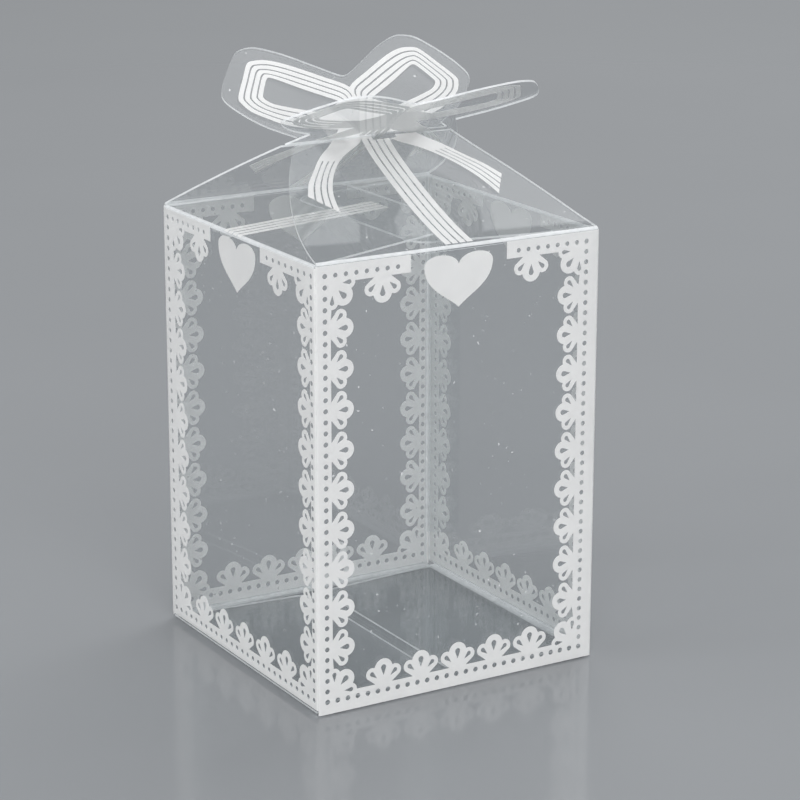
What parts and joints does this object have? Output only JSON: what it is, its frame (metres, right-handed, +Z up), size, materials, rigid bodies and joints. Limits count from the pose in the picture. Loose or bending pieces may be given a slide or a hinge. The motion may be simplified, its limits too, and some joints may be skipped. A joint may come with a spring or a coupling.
{
  "type": "clear gift box",
  "caption": "Clear folded film box with a printed lace border and heart on each wall, roof flaps that cross in a bow, and a tuck-in base.",
  "frame": {"origin": "centre of the base, on the plane that the box stands on", "axes": "+Z up through the bow, -Y towards the front roof flap, +X towards the wall with the glue flap inside"},
  "size_m": [0.05, 0.05, 0.0951],
  "materials": {
    "clear_film": "clear, glossy",
    "white_print": "opaque white print, satin"
  },
  "bodies": {
    "sleeve": {"wall_front": "clear_film", "wall_back": "clear_film", "wall_right": "clear_film", "wall_left": "clear_film", "glue_flap": "clear_film", "lace_front": "white_print", "lace_back": "white_print", "lace_right": "white_print", "lace_left": "white_print", "heart_front": "white_print", "heart_back": "white_print", "heart_right": "white_print", "heart_left": "white_print"},
    "roof_flap_front": {"roof_front": "clear_film", "bow_front": "clear_film", "ribbon_front": "white_print", "tail_right_front": "white_print", "tail_left_front": "white_print", "bow_print_front": "white_print"},
    "roof_flap_back": {"roof_back": "clear_film", "bow_back": "clear_film", "ribbon_back": "white_print", "tail_right_back": "white_print", "tail_left_back": "white_print", "bow_print_back": "white_print"},
    "dust_flap_left": {"top_flap_left": "clear_film", "top_ribbon_left": "white_print"},
    "dust_flap_right": {"top_flap_right": "clear_film", "top_ribbon_right": "white_print"},
    "base_lid": {"base_panel": "clear_film"},
    "base_lid_tongue": {"base_tongue": "clear_film"},
    "base_dust_flap_left": {"base_flap_left": "clear_film"},
    "base_dust_flap_right": {"base_flap_right": "clear_film"}
  },
  "joints": [
    {"name": "roof_front_crease", "type": "hinge", "parent": "sleeve", "child": "roof_flap_front", "pos_m": [0, -0.02475, 0.06985], "axis": [1, 0, 0], "range_deg": [0, 160], "deforming": ["bow_front", "bow_print_front"]},
    {"name": "roof_back_crease", "type": "hinge", "parent": "sleeve", "child": "roof_flap_back", "pos_m": [0, 0.02475, 0.06985], "axis": [-1, 0, 0], "range_deg": [0, 160], "deforming": ["bow_back", "bow_print_back"]},
    {"name": "dust_left_crease", "type": "hinge", "parent": "sleeve", "child": "dust_flap_left", "pos_m": [-0.02475, 0, 0.06895], "axis": [0, -1, 0], "range_deg": [0, 72]},
    {"name": "dust_right_crease", "type": "hinge", "parent": "sleeve", "child": "dust_flap_right", "pos_m": [0.02475, 0, 0.06895], "axis": [0, 1, 0], "range_deg": [0, 54.4]},
    {"name": "base_crease", "type": "hinge", "parent": "sleeve", "child": "base_lid", "pos_m": [0, 0.02475, 0.00015], "axis": [1, 0, 0], "range_deg": [0, 75]},
    {"name": "tongue_crease", "type": "hinge", "parent": "base_lid", "child": "base_lid_tongue", "pos_m": [0, -0.02415, 0.00015], "axis": [1, 0, 0], "range_deg": [-45, 0]},
    {"name": "base_dust_left_crease", "type": "hinge", "parent": "sleeve", "child": "base_dust_flap_left", "pos_m": [-0.02475, 0, 0.00105], "axis": [0, -1, 0], "range_deg": [0, 75]},
    {"name": "base_dust_right_crease", "type": "hinge", "parent": "sleeve", "child": "base_dust_flap_right", "pos_m": [0.02475, 0, 0.00105], "axis": [0, 1, 0], "range_deg": [0, 75]}
  ],
  "couplings": [
    {"joint": "roof_back_crease", "follows": "roof_front_crease", "ratio": 1},
    {"joint": "dust_left_crease", "follows": "roof_front_crease", "ratio": 0.45},
    {"joint": "dust_right_crease", "follows": "roof_front_crease", "ratio": 0.34},
    {"joint": "tongue_crease", "follows": "base_crease", "ratio": -0.6}
  ]
}
